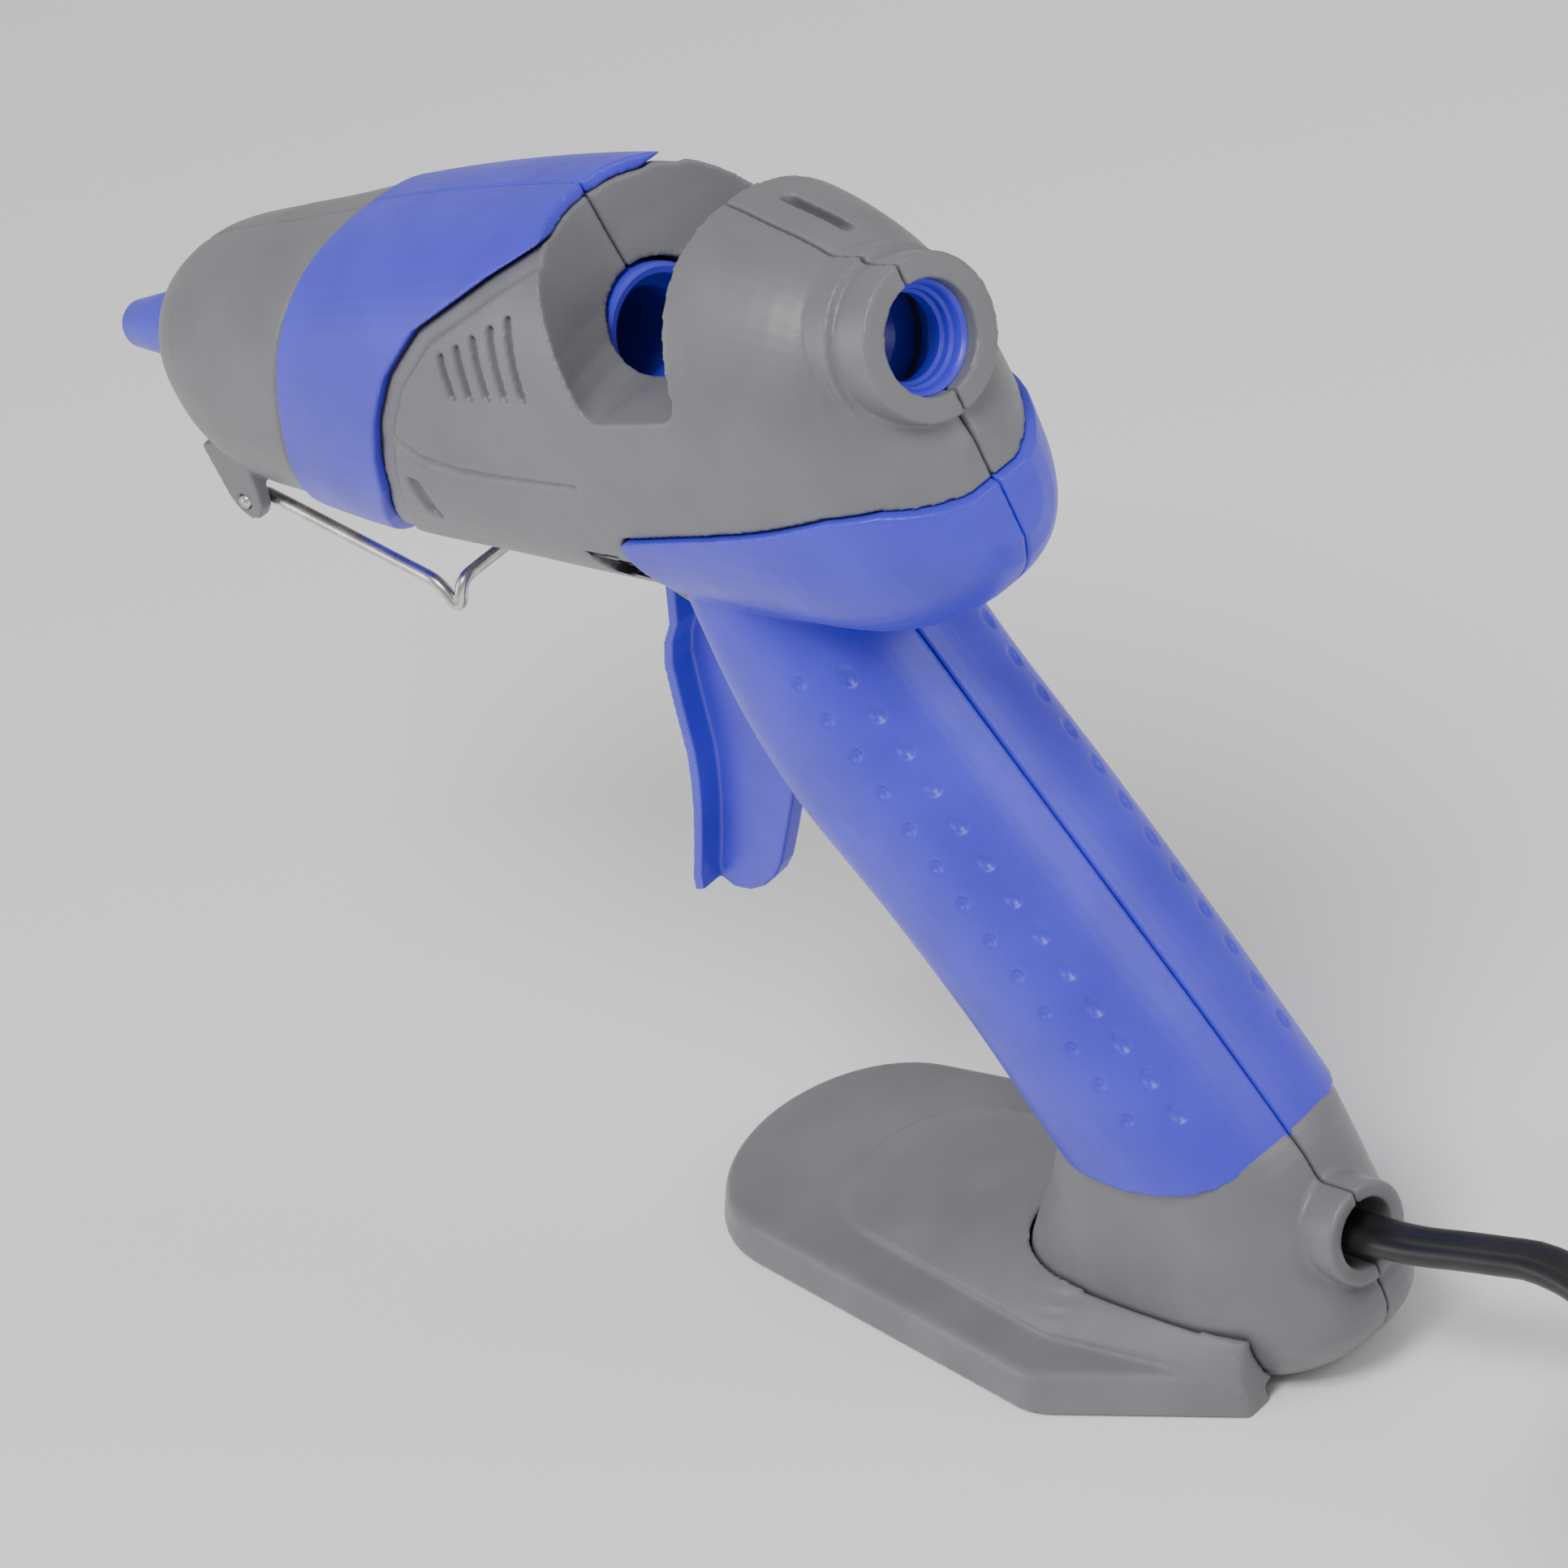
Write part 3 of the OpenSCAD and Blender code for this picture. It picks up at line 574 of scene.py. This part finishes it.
def side_of_handle(s, b, side):
    """The grip's half width there, and the direction straight out of it, as (y, b)."""
    half, back, middle, front = smooth_row(HANDLE, s)
    reach = (back - middle) if b > middle else (middle - front)
    share = min(1.0, abs(b - middle) / reach)
    y = half * (1 - share ** HANDLE_POWER) ** (1 / HANDLE_POWER)
    slope = Vector((side * (y / half) ** (HANDLE_POWER - 1) / half,
                    math.copysign(share ** (HANDLE_POWER - 1) / reach, b - middle)))
    return side * y, slope.normalized()


def make_grip():
    grip = handle_form(0.35, -40, 94)
    cuff = combine(head_form(0.9, -66), cuff_region(0), "INTERSECT")
    combine(grip, cuff, "UNION")
    below = [(-60, 39.6), (30, 38.6), (40, 38.3), (50, 38.5), (60, 39.2), (68, 40.4), (120, 48), (120, 250),
             (-60, 250)]
    combine(grip, prism("level", below, -60, 60, upright), "INTERSECT")
    front = [(-60, STRIP_DEPTH - 30), (-60, -24), (-34, -26), (-16, -29), (0, STRIP_DEPTH), (70, STRIP_DEPTH),
             (76, STRIP_DEPTH - 4), (100, STRIP_DEPTH - 8), (100, STRIP_DEPTH - 30)]
    strip = loft("strip", [[handle(s, y, b) for s, b in front] for y in (-60, 60)])
    combine(grip, strip, "DIFFERENCE")
    combine(grip, head_form(-1.25), "DIFFERENCE")
    combine(grip, handle_form(-1.15, -44, 94), "DIFFERENCE")
    gap = 6.6
    for side in (-1, 1):
        for index in range(13):
            rows = ((index * gap - 16, -7.6, 1.15, 1.15), (index * gap - 12.8, -2.7, 1.8, 1.2))
            for s, b, long, wide in rows:
                y, normal = side_of_handle(s, b, side)
                dent = dimple(s, y + 0.35 * normal[0], b + 0.35 * normal[1], normal, long, wide, 0.65)
                combine(grip, dent, "DIFFERENCE")
    split_pair(grip, "grip", "blue_plastic", FINE * 0.85, 2)


def outline_round(circles, grow):
    """Convex outline round circles given as (x, y, radius)."""
    points = []
    for x, y, r in circles:
        points += [(x + (r + grow) * math.cos(t), y + (r + grow) * math.sin(t)) for t in turns(96)]
    points = sorted(set(points))

    def chain(row):
        kept = []
        for p in row:
            while len(kept) > 1 and ((kept[-1][0] - kept[-2][0]) * (p[1] - kept[-2][1])
                                     - (kept[-1][1] - kept[-2][1]) * (p[0] - kept[-2][0])) <= 0:
                kept.pop()
            kept.append(p)
        return kept[:-1]

    return even_loop(chain(points) + chain(points[::-1]), 160)


def even_loop(loop, count):
    """The outline at equal angles round its middle."""
    middle = Vector((sum(p[0] for p in loop) / len(loop), 0.0))
    result = []
    for t in turns(count):
        way = Vector((math.cos(t), math.sin(t)))
        best = 0.0
        for i, p in enumerate(loop):
            q = loop[(i + 1) % len(loop)]
            edge = Vector((q[0] - p[0], q[1] - p[1]))
            start = Vector(p) - middle
            cross = way.x * edge.y - way.y * edge.x
            if abs(cross) < 1e-9:
                continue
            reach = (start.x * edge.y - start.y * edge.x) / cross
            along = (start.x * way.y - start.y * way.x) / cross
            if reach > 0 and -1e-6 <= along <= 1 + 1e-6:
                best = max(best, reach)
        result.append((middle.x + way.x * best, way.y * best))
    return result


def make_base():
    plate = [(-38.9, 0, 22.1), (26, 20.6, 10), (26, -20.6, 10), (60, 13, 4), (60, -13, 4)]
    levels = [(0.1, 1.9), (0.6, 2.5), (5.2, 0.8), (6.1, 0.0), (6.4, -0.9)]
    base = loft("base", [[(x, y, z) for x, y in outline_round(plate, grow)] for z, grow in levels])
    low = [(-20, 0, 17), (24, 17.4, 6), (24, -17.4, 6), (60, 14.4, 5), (60, -14.4, 5)]
    high = [(14, 0, 10), (26, 12, 5), (26, -12, 5), (60, 12.2, 5), (60, -12.2, 5)]
    rings = []
    for z, share, grow in ((4, 0, 0), (6.4, 0, 0), (7.5, 0.05, 0), (8.6, 0.22, 0), (10.2, 0.52, 0),
                           (11.9, 0.9, 0), (12.5, 1, -0.4)):
        circles = [tuple(p + (q - p) * share for p, q in zip(c, d)) for c, d in zip(low, high)]
        rings.append([(x, y, z) for x, y in outline_round(circles, grow)])
    combine(base, loft("mound", rings), "UNION")
    rear = [(60.4, -5), (120, -5), (120, 30), (62.4, 30)]
    combine(base, prism("rear", rear, -60, 60, upright), "DIFFERENCE")
    combine(base, foot_form(0.45), "DIFFERENCE")
    open_end = [(42, -5), (90, -5), (90, 3), (42, 3)]
    combine(base, prism("open_end", open_end, -14.8, 14.8, upright), "DIFFERENCE")
    for center in ((-50, 0), (-30, -14), (-30, 14), (30, -25), (30, 25)):
        hole = [[(x, y, z) for x, y in circle(center, 5.5, 48)] for z in (-1, 1.5)]
        combine(base, loft("pad_hole", hole), "DIFFERENCE")
    soften(base, FINE, 3)
    finish_piece(base, "base_plate_skin", "housing", "gray_plastic", ["base_plate"])


def hub(center, radius, half):
    return prism("hub", circle(center, radius, 40), -half, half)


def make_trigger():
    line = [(-27, 121), (-28.4, 117), (-29.6, 113.5), (-32.6, 109.5), (-34.6, 105), (-36, 97), (-37.4, 87.6),
            (-39, 82), (-41.2, 76), (-44.4, 68.6), (-47.6, 61.8), (-48.3, 59)]
    flange = line + [(x + 2.3, z + 0.6) for x, z in reversed(line)]
    trigger = prism("trigger", flange, -5.9, 5.9, upright)
    web = line[:-1] + [(-46.6, 59), (-44.2, 57.6), (-40.4, 58.0), (-36.4, 59.8), (-33, 62.5), (-30.4, 65.4),
                       (-26.6, 71.4), (-22, 79), (-17.6, 87), (-14.4, 94), (-11.5, 104), (-9.6, 112),
                       (-8, 119), (-4.6, 124), (-8, 130), (-16, 127)]
    combine(trigger, prism("web", web, -1.7, 1.7, upright), "UNION")
    pivot, tip = TRIGGER_PIVOT, TRIGGER_TIP
    combine(trigger, hub(pivot, 4.4, 4.2), "UNION")
    arm = [(pivot[0] - 4, pivot[1]), (pivot[0] + 4, pivot[1]), (tip[0] + 3, tip[1]), (tip[0] - 3, tip[1])]
    combine(trigger, prism("arm", arm, -1.6, 1.6), "UNION")
    combine(trigger, hub(tip, 3, 1.6), "UNION")
    combine(trigger, hub(pivot, 1.6, 9), "DIFFERENCE")
    combine(trigger, hub(tip, 1.55, 9), "DIFFERENCE")
    soften(trigger, FINE * 0.7, 3)
    finish_piece(trigger, "trigger_lever", "trigger", "blue_plastic", ["trigger"])


def tube(name, path, radius, sides=14):
    """A round wire along points, with its ring turned smoothly from point to point."""
    path = [Vector(p) for p in path]
    rings = []
    side = None
    for i, p in enumerate(path):
        way = (path[min(i + 1, len(path) - 1)] - path[max(i - 1, 0)]).normalized()
        side = way.orthogonal() if side is None else side - way * side.dot(way)
        side.normalize()
        other = way.cross(side)
        rings.append([tuple(p + side * radius * math.cos(t) + other * radius * math.sin(t))
                      for t in turns(sides)])
    return loft(name, rings)


def rounded(points, radius, count=6):
    """The path with each corner cut to a smooth bend."""
    points = [Vector(p) for p in points]
    path = [points[0]]
    for before, corner, after in zip(points, points[1:], points[2:]):
        start = corner + (before - corner).normalized() * min(radius, (before - corner).length * 0.45)
        end = corner + (after - corner).normalized() * min(radius, (after - corner).length * 0.45)
        for i in range(count + 1):
            t = i / count
            path.append(start * (1 - t) ** 2 + corner * 2 * t * (1 - t) + end * t ** 2)
    return path + [points[-1]]


def make_wire():
    a, u = WIRE_PIVOT
    arm = [(a, WIRE_END, u), (a, WIRE_HALF, u), (-131, WIRE_HALF, -38), (-128.6, WIRE_HALF, -43.2),
           (-127.2, WIRE_HALF - 1.6, -38.6)]
    corners = [barrel(a, -y, u) for a, y, u in arm] + [barrel(a, y, u) for a, y, u in reversed(arm)]
    wire = tube("wire", rounded(corners, 2.2), WIRE_RADIUS)
    shade_smooth(wire)
    finish_piece(wire, "wire_rest", "wire_stand", "steel", ["wire_stand"])


def make_turned():
    cover = [(-200, 0.9), (-199.9, 2.2), (-199.2, 3.2), (-198, 3.9), (-190, 5.1), (-178, 6.9), (-176.4, 6.9),
             (-176.4, 5.1), (-198.8, 2.1), (-199.4, 0.9)]
    guide = [(-14, 9.6), (-8.6, 9.4), (-8.2, 6.3), (-6, 6.2), (-5.6, 6.7), (-4.6, 6.8), (-4.2, 7.3),
             (-3, 7.4), (-2.6, 7.6), (-2.2, 8.1), (-5, 8.1), (-5.1, 10.2), (-14, 10.2)]
    sleeve = [(-88, 8.4), (-68.4, 8.4), (-67.8, 6.9), (-64.6, 6.9), (-63.6, 7.9), (-61.4, 8.3), (-60.9, 8.7),
              (-60.7, 9.6), (-61, 10.2), (-61.6, 10.4), (-72, 10.4), (-72.2, 9), (-88, 9)]
    for profile, name, node in ((cover, "nozzle_sheath", "nozzle_cover"),
                                (guide, "rear_guide_ring", "rear_guide"),
                                (sleeve, "inlet_sleeve_ring", "inlet_sleeve")):
        piece = lathe(name, profile)
        shade_smooth(piece)
        piece.data.set_sharp_from_angle(angle=math.radians(35))
        finish_piece(piece, name, "housing", "blue_plastic", [node])


# ---------- the cord ----------

CORD_WIDTH, CORD_THICK = 7.0, 3.6
LEAD = [(62, 0, 25.5), (70, 0, 25.5), (78, 0, 25.6), (86, 0.4, 26), (94, 1.4, 26.8), (101, 2.4, 27.3),
        (108, 3.2, 27.6), (117.2, 2.3, 26.6), (124.4, -1.3, 23.8), (130.2, -6.7, 19.6), (135.2, -13, 15),
        (140.4, -19.4, 11), (146.2, -25, 7.4), (153.4, -29, 3.6)]
TAIL = [(145, -29.4, 6.2), (155.8, -30.2, 7.8), (167.6, -28.2, 9.4), (179, -21.8, 10.8), (188, -11.4, 11.8),
        (193, 0.8, 12.4), (194.8, 11.8, 12.6)]
COIL_CENTER = (162.6, 19.0)
COIL_OUTER, COIL_INNER = 49.5, 28.4
COIL_LOW, COIL_HIGH = 1.9, 5.7
PLUG_PLACE = (194.8, 11.8, 7.7)
PLUG_TURN = 77.4
# Height of the plug's middle over its place
PLUG_RISE = 5.6


def coil_path():
    """Three turns inwards on the table, then nearly three outwards on top of them."""
    points = []
    per_turn = 40
    layers = ((COIL_LOW, 3.0, COIL_OUTER, COIL_INNER), (COIL_HIGH, 2.88, COIL_INNER, COIL_OUTER))
    for level, turned, start, end in layers:
        total = round(per_turn * turned)
        for i in range(total):
            angle = 2 * math.pi * (i / per_turn - 0.25)
            radius = start + (end - start) * i / total
            climb = (COIL_HIGH - COIL_LOW) * max(0, 1 - i / 6) if level == COIL_HIGH else 0
            points.append((COIL_CENTER[0] + radius * math.cos(angle),
                           COIL_CENTER[1] + radius * math.sin(angle), level - climb))
    return points


def smooth_path(points, gap):
    """Evenly spaced points on a smooth curve through the route."""
    dense = []
    for i in range(len(points) - 1):
        p0, p1, p2, p3 = (Vector(points[max(0, min(len(points) - 1, j))]) for j in (i - 1, i, i + 1, i + 2))
        for k in range(8):
            t = k / 8
            dense.append(0.5 * (2 * p1 + (p2 - p0) * t + (2 * p0 - 5 * p1 + 4 * p2 - p3) * t * t
                                + (3 * p1 - p0 - 3 * p2 + p3) * t ** 3))
    dense.append(Vector(points[-1]))
    path, last = [dense[0]], dense[0]
    for p in dense:
        if (p - last).length >= gap:
            path.append(p)
            last = p
    return path


def make_cord():
    path = smooth_path(LEAD + coil_path() + TAIL, 2.0)
    rings = []
    for i, p in enumerate(path):
        way = (path[min(i + 1, len(path) - 1)] - path[max(i - 1, 0)]).normalized()
        side = Vector((-way.y, way.x, 0)).normalized()
        up = way.cross(side)
        ring = []
        for t in turns(28):
            # Two round cores side by side with a groove between them
            across = CORD_WIDTH / 2 * math.cos(t)
            core = CORD_WIDTH / 4
            off = abs(abs(across) - core) / core
            rise = max(0.3, math.sqrt(max(0.0, 1 - off * off)))
            rise = rise if abs(across) > core else max(rise, 0.55)
            height = CORD_THICK / 2 * rise * (0 if abs(math.sin(t)) < 1e-6 else math.copysign(1, math.sin(t)))
            ring.append(tuple(p + side * across + up * height))
        rings.append(ring)
    cord = loft("power_cord", rings)
    shade_smooth(cord)
    finish_piece(cord, "power_cord", "housing", "black_rubber", ["cord", "cord_coil", "cord_tail"])
    make_plug()


def make_plug():
    start, way = Vector(PLUG_PLACE), math.radians(PLUG_TURN)
    middle = start.z + PLUG_RISE
    sections = [(0, 3.9, 6), (2, 4.4, 6.6), (8, 5, 7.6), (14, 7.6, 9.4), (20, 9.8, 10.4), (30, 11.4, 10.8),
                (35, 11.6, 10.6), (36, 10.8, 9.8)]
    rings = []
    for along, half, tall in sections:
        ring = superellipse(half, middle + tall / 2, middle, middle - tall / 2, 3.2)
        rings.append([(start.x + along * math.cos(way) - y * math.sin(way),
                       start.y + along * math.sin(way) + y * math.cos(way), z) for y, z in ring])
    plug = loft("plug", rings)
    soften(plug, 0.6, 2)
    return finish_piece(plug, "plug_cap", "housing", "black_rubber", ["plug_body"])


def paint_cad():
    """CAD pieces that stay get the finish of their own material slot."""
    for row in frame["record"]["subparts"]:
        node, material = frame["nodes"][row["node"]], MATERIALS[row["material_slot"]]
        if not node.material_slots:
            node.data.materials.append(material)
        for entry in node.material_slots:
            entry.material = material


make_camera()
make_studio()
paint_cad()
make_cord()
make_shells()
make_hood()
make_grip()
make_base()
make_trigger()
make_wire()
make_turned()
